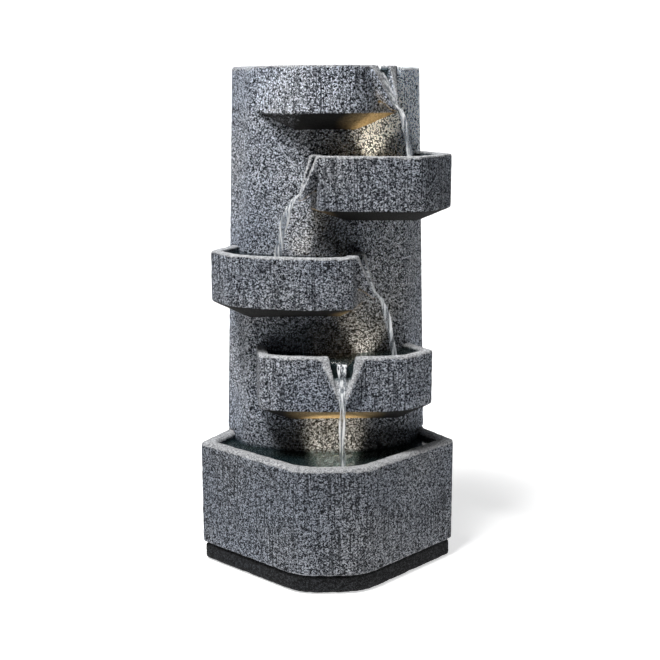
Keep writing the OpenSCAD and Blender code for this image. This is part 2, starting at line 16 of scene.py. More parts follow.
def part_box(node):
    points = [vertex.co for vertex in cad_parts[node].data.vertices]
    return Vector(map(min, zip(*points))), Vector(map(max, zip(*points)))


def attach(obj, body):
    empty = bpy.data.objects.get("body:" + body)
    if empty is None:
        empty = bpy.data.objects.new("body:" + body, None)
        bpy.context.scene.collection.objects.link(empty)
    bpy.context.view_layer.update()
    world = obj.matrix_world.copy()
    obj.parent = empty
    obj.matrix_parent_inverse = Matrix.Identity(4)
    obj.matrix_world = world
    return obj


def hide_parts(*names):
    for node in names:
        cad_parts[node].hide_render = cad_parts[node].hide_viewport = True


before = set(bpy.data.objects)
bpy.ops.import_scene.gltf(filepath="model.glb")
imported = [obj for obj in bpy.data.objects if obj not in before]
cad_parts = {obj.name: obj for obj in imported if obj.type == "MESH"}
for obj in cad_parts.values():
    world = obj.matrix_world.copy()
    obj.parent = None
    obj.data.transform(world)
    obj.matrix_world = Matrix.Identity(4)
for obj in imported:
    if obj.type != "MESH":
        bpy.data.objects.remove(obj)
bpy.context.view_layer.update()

Colour = tuple[float, float, float]
MM = 0.001
BODY = "fountain"
WELD = 0.00001
GOLDEN_ANGLE = 2.399963
BASIN_LAMP = 4

# The colour sockets of a mix node, by their place among its inputs and outputs.
MIX_A, MIX_B, MIX_RESULT = 6, 7, 2

# The stone's tones, from its dark grains to its pale ones: where each stands, its level and its
# coolness. SPECKLE is the face as cast; the pale table colours worn edges and the upward faces,
# whose paleness is partly wear and partly painted top light.
SPECKLE = ((0.30, 0.004, 0.15), (0.43, 0.035, 0.14), (0.52, 0.17, 0.10), (0.61, 0.42, 0.07),
           (0.73, 0.98, 0.04))
WORN_AND_TOP_LIT = ((0.2, 0.22, 0.03), (0.5, 0.55, 0.02), (0.8, 0.80, 0.0))
log = logging.getLogger("fountain")


class Bowl(Enum):
    """The bowls, by the name of their casting."""

    LOWER = "bowl_lower"
    MIDDLE = "bowl_middle"
    UPPER = "bowl_upper"
    TOP = "bowl_top"


# ---------------------------------------------------------------- shading


class Graph:
    """A material's node tree, with short calls that add and join its nodes."""

    def __init__(self, name: str) -> None:
        """Starts a material whose Principled shader is ready to be fed."""
        self.material = bpy.data.materials.new(name)
        self.material.use_nodes = True
        self.tree = self.material.node_tree
        self.shader = self.tree.nodes["Principled BSDF"]
        place = self.add("ShaderNodeTexCoord")
        self.coords = place.outputs["Object"]
        self.up = self.split(place.outputs["Normal"], 2)

    def add(self, kind: str, **settings: object) -> bpy.types.ShaderNode:
        """Adds a node and sets its own properties."""
        made = self.tree.nodes.new(kind)
        for key, value in settings.items():
            setattr(made, key, value)
        return made

    def feed(self, socket: bpy.types.NodeSocket, source: object) -> None:
        """Joins a source to a socket, or sets the socket to a plain value."""
        if isinstance(source, bpy.types.NodeSocket):
            self.tree.links.new(source, socket)
        elif isinstance(source, tuple) and socket.type == "RGBA":
            socket.default_value = (*source, 1.0)
        else:
            socket.default_value = source

    def split(self, vector: bpy.types.NodeSocket, part: int) -> bpy.types.NodeSocket:
        """Gives one part of a vector."""
        made = self.add("ShaderNodeSeparateXYZ")
        self.feed(made.inputs[0], vector)
        return made.outputs[part]

    def math(self, operation: str, a: object, b: object = 0.0) -> bpy.types.NodeSocket:
        """Works out one sum, such as MULTIPLY or ADD."""
        made = self.add("ShaderNodeMath", operation=operation)
        self.feed(made.inputs[0], a)
        self.feed(made.inputs[1], b)
        return made.outputs[0]

    def times(self, a: object, b: object) -> bpy.types.NodeSocket:
        """Multiplies two values."""
        return self.math("MULTIPLY", a, b)

    def rest(self, value: object) -> bpy.types.NodeSocket:
        """What a share leaves of 1."""
        return self.math("SUBTRACT", 1.0, value)

    def mix(self, share: object, a: object, b: object,
            blend: str = "MIX") -> bpy.types.NodeSocket:
        """Mixes two colours by a share."""
        made = self.add("ShaderNodeMix", data_type="RGBA", blend_type=blend)
        self.feed(made.inputs[0], share)
        self.feed(made.inputs[MIX_A], a)
        self.feed(made.inputs[MIX_B], b)
        return made.outputs[MIX_RESULT]

    def tint(self, colour: object, by: Colour) -> bpy.types.NodeSocket:
        """Multiplies a colour by another."""
        return self.mix(1.0, colour, by, "MULTIPLY")

    def attribute(self, name: str) -> bpy.types.NodeSocket:
        """A value that the mesh carries at each point."""
        return self.add("ShaderNodeAttribute", attribute_name=name).outputs["Fac"]

    def step(self, value: object, low: float, high: float) -> bpy.types.NodeSocket:
        """Rises smoothly from 0 at low to 1 at high."""
        made = self.add("ShaderNodeMapRange", interpolation_type="SMOOTHSTEP")
        self.feed(made.inputs["Value"], value)
        self.feed(made.inputs["From Min"], low)
        self.feed(made.inputs["From Max"], high)
        return made.outputs[0]

    def noise(self, scale: float, detail: float,
              vector: bpy.types.NodeSocket | None = None) -> bpy.types.NodeSocket:
        """Cloudy noise of that many lumps per metre."""
        made = self.add("ShaderNodeTexNoise")
        self.feed(made.inputs["Vector"], vector or self.coords)
        self.feed(made.inputs["Scale"], scale)
        self.feed(made.inputs["Detail"], detail)
        return made.outputs[0]

    def grains(self, scale: float, vector: object) -> bpy.types.NodeSocket:
        """One random value for each stone grain."""
        made = self.add("ShaderNodeTexVoronoi")
        self.feed(made.inputs["Vector"], vector)
        self.feed(made.inputs["Scale"], scale)
        return self.split(made.outputs["Color"], 0)

    def stretched(self, scale: tuple[float, float, float]) -> bpy.types.NodeSocket:
        """The piece's own coordinates, scaled along each axis."""
        made = self.add("ShaderNodeMapping")
        self.feed(made.inputs["Vector"], self.coords)
        self.feed(made.inputs["Scale"], Vector(scale))
        return made.outputs[0]

    def near(self, place: Vector, reach: float) -> bpy.types.NodeSocket:
        """Falls from 1 around a place to 0 at that reach from it."""
        away = self.add("ShaderNodeVectorMath", operation="DISTANCE")
        self.feed(away.inputs[0], self.coords)
        self.feed(away.inputs[1], place)
        return self.rest(self.step(away.outputs["Value"], reach * 0.45, reach))

    def ramp(self, value: object, stops: list[tuple[float, Colour]]) -> bpy.types.NodeSocket:
        """Turns a value into a colour through a few stops."""
        made = self.add("ShaderNodeValToRGB")
        band = made.color_ramp
        while len(band.elements) < len(stops):
            band.elements.new(0.5)
        for element, (position, colour) in zip(band.elements, stops):
            element.position = position
            element.color = (*colour, 1.0)
        self.feed(made.inputs[0], value)
        return made.outputs[0]

    def bump(self, height: object, distance: float, strength: float) -> None:
        """Roughens the surface by a height, in metres."""
        made = self.add("ShaderNodeBump")
        self.feed(made.inputs["Height"], height)
        self.feed(made.inputs["Distance"], distance)
        self.feed(made.inputs["Strength"], strength)
        self.feed(self.shader.inputs["Normal"], made.outputs[0])

    def surface(self, **sockets: object) -> bpy.types.Material:
        """Feeds the shader's sockets by name, with _ for a space."""
        for key, value in sockets.items():
            self.feed(self.shader.inputs[key.replace("_", " ")], value)
        return self.material


def grey(level: float, cool: float = 0.0) -> Colour:
    """A grey of that level, turned a little towards blue."""
    return (level * (1 - cool), level * (1 - cool * 0.35), level * (1 + cool))


@dataclass(frozen=True)
class CastStone:
    """Granite-speckled cast stone: grains, combed streaks, wet insides, tops pale from wear and
    painted light, painted shade and lamp light.
    """

    name: str
    level: float
    comb: float
    grain: float = 1.05 * MM
    comb_lines: tuple[float, float, float] = (760, 760, 26)
    # How pale the upward faces are: partly wear, partly painted top light.
    top_wear_and_light: float = 0.8
    # Centre and reach of the painted warm lamp light on a bowl's underside.
    lamp_pool: Vector | None = None
    lamp_pool_reach: float = 40 * MM
    # Centre, reach and tint of the painted highlight on the tower's upper right corner.
    highlight_at: Vector | None = None
    highlight_reach: float = 0.13
    highlight_tint: Colour = (3.0, 3.0, 2.9)
    cloud_tint: Colour = (0.80, 0.85, 0.93)
    wet_tint: Colour = (0.20, 0.25, 0.26)

    def make(self) -> bpy.types.Material:
        """Builds the stone's material, from its grains out to its stains."""
        g = Graph(self.name)
        cell = g.grains(1 / self.grain, self.warped(g))
        fine = g.step(g.noise(1.9 / self.grain, 2.0), 0.3, 0.7)
        speck = g.math("ADD", g.times(cell, 0.55), g.times(fine, 0.45))
        colour = g.ramp(speck, [(at, grey(tone * self.level, cool)) for at, tone, cool in SPECKLE])
        gouge = self.gouge(g)
        colour = g.mix(gouge, colour, grey(0.022 * self.level, 0.15))
        cloud = g.step(g.noise(9, 2.0), 0.3, 0.72)
        colour = g.mix(cloud, g.tint(colour, self.cloud_tint), colour)
        colour = self.wear_and_painted_light(g, colour, speck)
        colour = self.painted_underside_light(g, colour, speck)
        wet = g.attribute("wet")
        colour = g.mix(wet, colour, g.tint(colour, self.wet_tint))
        dry = g.math("ADD", 0.74, g.times(fine, 0.2))
        rough = g.math("SUBTRACT", dry, g.times(wet, 0.5))
        g.bump(g.math("SUBTRACT", speck, g.times(gouge, 0.9)), 0.55 * MM, 0.75)
        return g.surface(Base_Color=colour, Roughness=rough, Specular_IOR_Level=0.2)

    def warped(self, g: Graph) -> bpy.types.NodeSocket:
        """The piece's coordinates, swirled so that the grains have uneven edges."""
        swirl = g.add("ShaderNodeTexNoise")
        g.feed(swirl.inputs["Vector"], g.coords)
        g.feed(swirl.inputs["Scale"], 0.7 / self.grain)
        warp = g.add("ShaderNodeVectorMath", operation="MULTIPLY_ADD")
        g.feed(warp.inputs[0], swirl.outputs[1])
        g.feed(warp.inputs[1], Vector((1, 1, 1)) * self.grain * 1.2)
        g.feed(warp.inputs[2], g.coords)
        return warp.outputs[0]

    def gouge(self, g: Graph) -> bpy.types.NodeSocket:
        """Combed lines, in patches on the upright faces."""
        side = g.rest(g.step(g.math("ABSOLUTE", g.up), 0.25, 0.6))
        lines = g.step(g.noise(1.0, 2.0, g.stretched(self.comb_lines)), 0.37, 0.50)
        patch = g.step(g.noise(16, 1.0), 0.30, 0.52)
        return g.times(g.rest(lines), g.times(side, g.times(patch, self.comb)))

    def wear_and_painted_light(self, g: Graph, colour: object, speck: object) -> bpy.types.NodeSocket:
        """Pale worn edges, upward faces pale partly from wear and partly as painted top light, and
        painted shade in creases.
        """
        # Upward faces pale partly from wear and partly as painted top light; convex edges pale
        # from wear.
        pale = g.math("MAXIMUM", g.times(g.step(g.up, 0.09, 0.28), self.top_wear_and_light),
                      g.times(g.attribute("edge"), 0.75))
        top = min(1.0, 1.7 * self.level)
        worn_and_lit_tone = g.ramp(speck, [(at, grey(tone * top, cool)) for at, tone, cool in WORN_AND_TOP_LIT])
        colour = g.mix(pale, colour, worn_and_lit_tone)
        # Painted shade: creases darkened nearly to black.
        return g.mix(g.times(g.attribute("crease_shade"), 0.85), colour, grey(0.012, 0.1))

    def painted_underside_light(self, g: Graph, colour: object, speck: object) -> bpy.types.NodeSocket:
        """Painted shadow on downward faces, painted lamp light over the lamp, and a painted
        highlight on one corner.
        """
        # Painted highlight: lightens the stone around one corner.
        if self.highlight_at is not None:
            glow = g.near(self.highlight_at, self.highlight_reach)
            colour = g.mix(glow, colour, g.tint(colour, self.highlight_tint))
        if self.lamp_pool is not None:
            # Painted shadow and lamp light on downward faces: near black away from the lamp, warm
            # gold over it.
            lamp_lit = g.mix(speck, (0.05, 0.03, 0.01), (0.62, 0.46, 0.24))
            lit_and_shaded_underside = g.mix(g.near(self.lamp_pool, self.lamp_pool_reach), grey(0.006), lamp_lit)
            down = g.step(g.times(g.up, -1.0), 0.35, 0.75)
            colour = g.mix(down, colour, lit_and_shaded_underside)
        return colour


@dataclass(frozen=True)
class MouldedPlastic:
    """Fine-textured moulded plastic, a little uneven and dusty on its upper faces."""

    name: str
    colour: Colour
    rough: float
    gloss: float = 0.0

    def make(self) -> bpy.types.Material:
        """Builds the plastic's material."""
        g = Graph(self.name)
        leather = g.noise(1400, 2.0)
        uneven = g.step(g.noise(55, 3.0), 0.3, 0.7)
        lighter = tuple(min(1.0, c * 1.5 + 0.012) for c in self.colour)
        dust = g.times(g.step(g.up, 0.5, 0.95), 0.35)
        colour = g.mix(g.times(uneven, 0.5), self.colour, lighter)
        colour = g.mix(dust, colour, grey(0.16))
        rough = g.math("ADD", self.rough - 0.08, g.times(uneven, 0.2))
        g.bump(leather, 0.05 * MM, 0.6)
        return g.surface(Base_Color=colour, Roughness=rough, Coat_Weight=self.gloss)


@dataclass(frozen=True)
class MattRubber:
    """Matt moulded rubber with a faint bloom."""

    name: str
    level: float = 0.02

    def make(self) -> bpy.types.Material:
        """Builds the rubber's material."""
        g = Graph(self.name)
        bloom = g.step(g.noise(160, 4.0), 0.42, 0.75)
        pale = grey(self.level * 3 + 0.01)
        colour = g.mix(g.times(bloom, 0.4), grey(self.level), pale)
        rough = g.math("ADD", 0.72, g.times(bloom, 0.2))
        g.bump(g.noise(2300, 1.0), 0.04 * MM, 0.5)
        return g.surface(Base_Color=colour, Roughness=rough)


@dataclass(frozen=True)
class StainlessSteel:
    """Brushed stainless steel with fine lines and a few smudges."""

    name: str

    def make(self) -> bpy.types.Material:
        """Builds the steel's material."""
        g = Graph(self.name)
        lines = g.noise(1.0, 3.0, g.stretched((6000, 300, 6000)))
        smudge = g.step(g.noise(240, 3.0), 0.45, 0.7)
        marks = g.math("ADD", g.times(lines, 0.14), g.times(smudge, 0.16))
        rough = g.math("ADD", 0.24, marks)
        colour = g.mix(smudge, (0.62, 0.63, 0.65), (0.50, 0.50, 0.51))
        g.bump(lines, 0.01 * MM, 0.4)
        return g.surface(Base_Color=colour, Roughness=rough, Metallic=1.0)


@dataclass(frozen=True)
class GroundCeramic:
    """Fine white ceramic, ground along its length."""

    name: str

    def make(self) -> bpy.types.Material:
        """Builds the ceramic's material."""
        g = Graph(self.name)
        marks = g.noise(1.0, 2.0, g.stretched((2600, 120, 2600)))
        colour = g.mix(marks, (0.72, 0.71, 0.67), (0.86, 0.86, 0.83))
        g.bump(marks, 0.01 * MM, 0.3)
        return g.surface(Base_Color=colour, Roughness=0.28)


@dataclass(frozen=True)
class ClearVinyl:
    """Flexible clear tube, slightly hazy."""

    name: str

    def make(self) -> bpy.types.Material:
        """Builds the vinyl's material."""
        g = Graph(self.name)
        haze = g.step(g.noise(90, 3.0), 0.35, 0.7)
        rough = g.math("ADD", 0.08, g.times(haze, 0.16))
        colour = g.mix(haze, (0.86, 0.92, 0.91), (0.72, 0.80, 0.79))
        g.bump(g.noise(300, 1.0), 0.05 * MM, 0.3)
        return g.surface(Base_Color=colour, Roughness=rough, Transmission_Weight=0.85, IOR=1.5)


@dataclass(frozen=True)
class GlowingLens:
    """A frosted lens lit from below and mottled by its frost."""

    name: str
    glow: float = 14.0

    def make(self) -> bpy.types.Material:
        """Builds the lens's material."""
        g = Graph(self.name)
        frost = g.step(g.noise(1500, 2.0), 0.35, 0.65)
        light = g.mix(frost, (1.0, 0.60, 0.22), (1.0, 0.82, 0.52))
        g.bump(frost, 0.05 * MM, 0.6)
        return g.surface(Base_Color=light, Roughness=0.4, Emission_Color=light,
                         Emission_Strength=self.glow)


@dataclass(frozen=True)
class PoolWater:
    """Still, dark water that shows the stone below it and a moving gloss above."""

    name: str

    def make(self) -> bpy.types.Material:
        """Builds the water's material."""
        g = Graph(self.name)
        deep = g.step(g.noise(45, 2.0), 0.3, 0.7)
        colour = g.mix(deep, (0.010, 0.022, 0.026), (0.030, 0.045, 0.045))
        ripple = g.noise(230, 2.0)
        g.bump(ripple, 0.7 * MM, 0.5)
        g.material.surface_render_method = "BLENDED"
        return g.surface(Base_Color=colour, Roughness=0.06, IOR=1.33, Alpha=0.62)


@dataclass(frozen=True)
class FallingWater:
    """Clear falling water, whitened by air along its strands."""

    name: str
    froth: float = 0.85

    def make(self) -> bpy.types.Material:
        """Builds the falling water's material."""
        g = Graph(self.name)
        strand = g.step(g.noise(1.0, 2.0, g.stretched((520, 520, 45))), 0.38, 0.60)
        white = g.times(strand, self.froth)
        colour = g.mix(white, (0.60, 0.66, 0.72), (1.0, 1.0, 1.0))
        clear = g.math("SUBTRACT", 0.92, g.times(white, 0.9))
        g.bump(g.noise(1.0, 2.0, g.stretched((900, 900, 260))), 0.6 * MM, 0.7)
        alpha = g.math("ADD", 0.5, g.times(white, 0.48))
        g.material.surface_render_method = "BLENDED"
        return g.surface(Base_Color=colour, Roughness=0.09, IOR=1.33, Transmission_Weight=clear,
                         Alpha=alpha)


# ---------------------------------------------------------------- mesh work


def welded(node: str) -> bmesh.types.BMesh:
    """Copies a CAD node's mesh and joins its loose triangles."""
    bm = bmesh.new()
    bm.from_mesh(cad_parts[node].data)
    bmesh.ops.remove_doubles(bm, verts=bm.verts, dist=WELD)
    return bm


def as_object(bm: bmesh.types.BMesh, name: str) -> bpy.types.Object:
    """Turns a finished bmesh into a linked object at the origin."""
    mesh = bpy.data.meshes.new(name)
    bm.to_mesh(mesh)
    bm.free()
    piece = bpy.data.objects.new(name, mesh)
    bpy.context.scene.collection.objects.link(piece)
    return piece


def applied(piece: bpy.types.Object) -> bmesh.types.BMesh:
    """Applies an object's modifiers, removes the object and gives its final mesh."""
    ready = piece.evaluated_get(bpy.context.evaluated_depsgraph_get())
    mesh = bpy.data.meshes.new_from_object(ready)
    bm = bmesh.new()
    bm.from_mesh(mesh)
    bpy.data.meshes.remove(mesh)
    bpy.data.objects.remove(piece)
    return bm


def finish_piece(bm: bmesh.types.BMesh, name: str,
                 finish: bpy.types.Material) -> bpy.types.Object:
    """Makes a smooth-shaded piece that wears one finish and rides on the fountain's body.

    Args:
        bm: the finished mesh, in its place.
        name: the piece's name.
        finish: the material it wears.

    Returns:
        The piece.
    """
    for face in bm.faces:
        face.smooth = True
    piece = as_object(bm, name)
    piece.data.materials.append(finish)
    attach(piece, BODY)
    log.info("%s: %d faces", name, len(piece.data.polygons))
    return piece


@dataclass
class Casting:
    """A cast-stone piece re-surfaced from its CAD solid: rounded, chipped edges, a gritty face,
    marks for painted crease shade.
    """

    node: str
    slot: str
    finish: bpy.types.Material
    voxel: float = 1.6 * MM
    grit: float = 0.22 * MM
    chip: float = 0.9 * MM
    passes: int = 2
    chip_scale: float = 130.0
    coarse_scale: float = 260.0
    fine_scale: float = 900.0
    soak: float = 4 * MM
    water: BVHTree | None = None

    def build(self) -> bpy.types.Object:
        """Makes the piece and hides the CAD node it stands for."""
        solid = as_object(welded(self.node), self.node + "_solid")
        remesh = solid.modifiers.new("grid", "REMESH")
        remesh.mode = "VOXEL"
        remesh.voxel_size = self.voxel
        bm = applied(solid)
        self.wear_and_painted_light(bm)
        self.wet(bm)
        piece = finish_piece(bm, self.node + "_stone", self.finish)
        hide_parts(self.node)
        return piece

    def wear_and_painted_light(self, bm: bmesh.types.BMesh) -> None:
        """Rounds the edges, chips them here and there, roughens every face and marks creases for
        painted shade.
        """
        before = [v.co.copy() for v in bm.verts]
        for _ in range(self.passes):
            bmesh.ops.smooth_vert(bm, verts=bm.verts, factor=0.5, use_axis_x=True,
                                  use_axis_y=True, use_axis_z=True)
        bm.normal_update()
        edges = bm.verts.layers.float.new("edge")
        creases = bm.verts.layers.float.new("crease_shade")
        shifts = []
        for vert, old in zip(bm.verts, before):
            edge = min(1.0, (vert.co - old).length / (0.22 * self.voxel))
            bent = (old - vert.co).dot(vert.normal) / (0.3 * self.voxel)
            vert[edges] = min(1.0, max(0.0, bent - 0.25))
            # How deep the crease is, where painted shade goes.
            vert[creases] = min(1.0, max(0.0, -bent - 0.25))
            bite = max(0.0, noise.noise(old * self.chip_scale) + 0.1) * edge
            coarse = noise.noise(old * self.coarse_scale)
            fine = noise.noise(old * self.fine_scale)
            shifts.append(vert.normal * (self.grit * (fine + 0.6 * coarse) - self.chip * bite))
        for vert, shift in zip(bm.verts, shifts):
            vert.co += shift

    def wet(self, bm: bmesh.types.BMesh) -> None:
        """Marks how wet each point is, from its distance to the water."""
        layer = bm.verts.layers.float.new("wet")
        if self.water is None:
            return
        for vert in bm.verts:
            point, _, _, away = self.water.find_nearest(vert.co, self.soak)
            if point is not None:
                vert[layer] = min(1.0, 1.35 * (1 - away / self.soak))


@dataclass
class Stream:
    """Water that runs down a spout's channel and falls as two joined strands."""

    name: str
    bowl: Bowl
    turn: float
    throw: float
    channel: float
    into: float
    fall_w: float
    reach: float = 14.5 * MM
    fall_t: float = 2.0 * MM
    twist: float = 1.35
    steps: int = 30
    sides: int = 16
    sway: float = 0.35 * MM
    braiding: float = 0.16
    taper: float = 0.22

    @property
    def out(self) -> Vector:
        """The direction in which the spout points, level."""
        angle = math.radians(self.turn)
        return Vector((math.sin(angle), -math.cos(angle), 0))

    @property
    def tip(self) -> Vector:
        """The middle of the beak's tip, at the height of the rim."""
        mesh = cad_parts[self.bowl.value].data
        far = max(v.co.dot(self.out) for v in mesh.vertices)
        end = [v.co for v in mesh.vertices if v.co.dot(self.out) > far - 0.6 * MM]
        middle = sum(end, Vector()) / len(end)
        return Vector((middle.x, middle.y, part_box(self.bowl.value)[1].z))

    @property
    def landing(self) -> Vector:
        """Where the stream meets the water below."""
        flat = self.tip + self.out * (self.throw + 1 * MM)
        return Vector((flat.x, flat.y, self.into))

    def stations(self) -> list[tuple[Vector, float, float]]:
        """The stream's middle, width and thickness at each ring, top to bottom.

        The chute's rows are in millimetres: the way out along the spout, the height against the
        rim, the width and the thickness.
        """
        tip, reach, wide = self.tip, self.reach / MM, self.channel / MM
        chute = [(-5.0, -5.2, 0.5 * wide, 0.5), (-2.0, -5.4, 0.5 * wide, 0.7),
                 (0.4, -7.3, 0.46 * wide, 0.8),
                 (0.22 * reach, -12.8, 0.4 * wide, 1.0), (0.45 * reach, -19.3, 0.34 * wide, 1.2),
                 (0.7 * reach, -26.2, 0.3 * wide, 1.6), (reach + 0.2, -34.0, 4.6, 2.2)]
        made = [(tip + self.out * (s - reach) * MM + Vector((0, 0, z * MM)), w * MM, t * MM)
                for s, z, w, t in chute]
        start = made[-1][0]
        drop = start.z - self.into + 1 * MM
        side = Vector((-self.out.y, self.out.x, 0))
        for i in range(1, self.steps + 1):
            u = i / self.steps
            place = start + self.out * self.throw * math.sqrt(u) - Vector((0, 0, drop * u))
            place += side * self.sway * math.sin(u * 9.0 + self.turn)
            braid = 1 + self.braiding * math.cos(u * 15.0 + 0.5)
            width = self.fall_w * braid * (1 - self.taper * u)
            made.append((place, width, self.fall_t * (1.1 - 0.2 * u)))
        return made

    def rings(self) -> list[Matrix]:
        """A frame for each ring: across the stream, through it, and along it."""
        spots = self.stations()
        side = Vector((-self.out.y, self.out.x, 0))
        made = []
        for i, (place, width, thick) in enumerate(spots):
            along = (spots[min(i + 1, len(spots) - 1)][0] - spots[max(i - 1, 0)][0]).normalized()
            fallen = max(0.0, (i - len(spots) + self.steps) / self.steps)
            turned = Matrix.Rotation(self.twist * min(1.0, fallen * 4.0), 3, along)
            across = turned @ side
            through = along.cross(across).normalized()
            across = through.cross(along)
            basis = Matrix((across * width / 2, through * thick / 2, along * width / 2))
            made.append(Matrix.Translation(place) @ basis.transposed().to_4x4())
        return made

    def build(self, finish: bpy.types.Material) -> bpy.types.Object:
        """Draws one dumbbell ring down the whole path."""
        bm = bmesh.new()
        bmesh.ops.create_circle(bm, cap_ends=True, radius=1.0, segments=self.sides)
        for vert in bm.verts:
            vert.co.y *= 0.32 + 0.68 * abs(vert.co.x) ** 3
        rings = self.rings()
        bmesh.ops.transform(bm, verts=bm.verts, matrix=rings[0])
        front = bm.edges[:]
        for before, after in zip(rings, rings[1:]):
            grown = bmesh.ops.extrude_edge_only(bm, edges=front)["geom"]
            front = [e for e in grown if isinstance(e, bmesh.types.BMEdge)]
            moved = [v for v in grown if isinstance(v, bmesh.types.BMVert)]
            bmesh.ops.transform(bm, verts=moved, matrix=after @ before.inverted())
        bmesh.ops.holes_fill(bm, edges=front, sides=0)
        bmesh.ops.recalc_face_normals(bm, faces=bm.faces)
        piece = finish_piece(bm, self.name, finish)
        rounder = piece.modifiers.new("round", "SUBSURF")
        rounder.levels = rounder.render_levels = 1
        return piece


@dataclass
class Splash:
    """Drops and foam thrown up where a stream lands."""

    name: str
    centre: Vector
    drops: int = 16
    spread: float = 7.0 * MM
    height: float = 3.2 * MM

    def build(self, finish: bpy.types.Material) -> bpy.types.Object:
        """Sets the drops on a sunflower spiral, foam in the middle and spray outside."""
        bm = bmesh.new()
        for i in range(self.drops):
            share = math.sqrt((i + 0.5) / self.drops)
            angle = i * GOLDEN_ANGLE
            reach = self.spread * share
            lift = self.height * share * abs(math.sin(i * 1.7)) if i % 2 else 0.0
            size = (1.05 - 0.6 * share) * MM
            grown = bmesh.ops.create_icosphere(bm, subdivisions=2, radius=size)
            flat = Matrix.Diagonal((1.0, 1.0, 0.5 if lift == 0 else 1.15, 1.0))
            spot = self.centre + Vector((math.cos(angle) * reach, math.sin(angle) * reach, lift))
            bmesh.ops.transform(bm, verts=grown["verts"], matrix=Matrix.Translation(spot) @ flat)
        return finish_piece(bm, self.name, finish)


@dataclass
class Water:
    """The water that stands in one vessel, with the rings of the stream that falls in it."""

    name: str
    vessel: str
    seed: Vector
    spout: Stream | None = None
    landing: Vector | None = None
    below_rim: float = 4.0 * MM
    pitch: float = 2.4 * MM
    wave: float = 0.55 * MM
    ring: float = 7.5 * MM
    swell_scale: float = 110.0
    spout_inset: float = 1.5 * MM

    @property
    def level(self) -> float:
        """Height of the still surface."""
        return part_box(self.vessel)[1].z - self.below_rim

    def block(self) -> bpy.types.Object:
        """A block of water as wide as the vessel, its top cut in fine squares."""
        low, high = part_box(self.vessel)
        size = high - low
        bm = bmesh.new()
        bmesh.ops.create_grid(bm, x_segments=round(size.x / self.pitch),
                              y_segments=round(size.y / self.pitch), size=0.5)
        bmesh.ops.scale(bm, verts=bm.verts, vec=(size.x, size.y, 1))
        grown = bmesh.ops.extrude_face_region(bm, geom=bm.faces[:])
        lower = [e for e in grown["geom"] if isinstance(e, bmesh.types.BMVert)]
        bmesh.ops.translate(bm, verts=lower, vec=(0, 0, low.z - self.level))
        middle = (low + high) / 2
        bmesh.ops.translate(bm, verts=bm.verts, vec=(middle.x, middle.y, self.level))
        bmesh.ops.recalc_face_normals(bm, faces=bm.faces)
        return as_object(bm, self.name + "_block")

    def build(self, finish: bpy.types.Material) -> BVHTree:
        """Fills the vessel up to the column and ripples the surface.

        Args:
            finish: the water's material.

        Returns:
            A search tree of the water, for the stone that it wets.
        """
        cutters = [as_object(welded(self.vessel), "vessel"), column_mass()]
        block = self.block()
        for cutter in cutters:
            cut = block.modifiers.new("cut", "BOOLEAN")
            cut.operation = "DIFFERENCE"
            cut.object = cutter
        bm = applied(block)
        for cutter in cutters:
            bpy.data.objects.remove(cutter)
        self.stop_at_spout(bm)
        self.keep_pool(bm)
        self.spread(bm)
        tree = BVHTree.FromBMesh(bm)
        self.ripple(bm)
        finish_piece(bm, self.name, finish)
        return tree

    def stop_at_spout(self, bm: bmesh.types.BMesh) -> None:
        """Ends the pool just inside the outer face of the wall that the spout leaves."""
        if self.spout is None:
            return
        face = self.spout.tip - self.spout.out * (self.spout.reach + self.spout_inset)
        bmesh.ops.bisect_plane(bm, geom=bm.verts[:] + bm.edges[:] + bm.faces[:], plane_co=face,
                               plane_no=self.spout.out, clear_outer=True)
        bmesh.ops.holes_fill(bm, edges=[e for e in bm.edges if e.is_boundary], sides=0)

    def keep_pool(self, bm: bmesh.types.BMesh) -> None:
        """Keeps only the water around the seed point."""
        start = min(bm.verts, key=lambda v: (v.co - self.seed).length)
        seen, queue = {start}, [start]
        while queue:
            for edge in queue.pop().link_edges:
                for vert in edge.verts:
                    if vert not in seen:
                        seen.add(vert)
                        queue.append(vert)
        bmesh.ops.delete(bm, geom=[v for v in bm.verts if v not in seen], context="VERTS")

    def spread(self, bm: bmesh.types.BMesh, into: float = 0.45 * MM) -> None:
        """Presses the water's sides a little into the rough stone."""
        bm.normal_update()
        for vert in bm.verts:
            out = Vector((vert.normal.x, vert.normal.y, 0))
            if out.length > 0.2:
                vert.co += out.normalized() * into

    def ripple(self, bm: bmesh.types.BMesh) -> None:
        """Lifts the surface in slow swells, and in rings around the landing."""
        for vert in bm.verts:
            if abs(vert.co.z - self.level) > 0.1 * MM:
                continue
            swell = 0.35 * noise.noise(vert.co * self.swell_scale)
            if self.landing is not None:
                away = (vert.co.xy - self.landing.xy).length
                swell += math.cos(away / self.ring * math.tau) * math.exp(-away / (2 * self.ring))
            vert.co.z += self.wave * swell


def column_mass() -> bpy.types.Object:
    """The tower's column as one solid mass, a hair oversize, for cutting the water."""
    bm = welded("tower_shell")
    low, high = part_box("tower_shell")
    bmesh.ops.scale(bm, verts=bm.verts, vec=(1.01, 1.01, 1),
                    space=Matrix.Translation(-(low + high) / 2))
    hull = bmesh.ops.convex_hull(bm, input=bm.verts[:])
    spare = {e for e in hull["geom_interior"] + hull["geom_unused"]
             if isinstance(e, bmesh.types.BMVert)}
    bmesh.ops.delete(bm, geom=list(spare), context="VERTS")
    shell = set(hull["geom"])
    bmesh.ops.delete(bm, geom=[f for f in bm.faces if f not in shell], context="FACES_ONLY")
    bmesh.ops.delete(bm, geom=[e for e in bm.edges if e.is_wire], context="EDGES")
    bmesh.ops.recalc_face_normals(bm, faces=bm.faces)
    return as_object(bm, "column_mass")


# ---------------------------------------------------------------- sub-assemblies


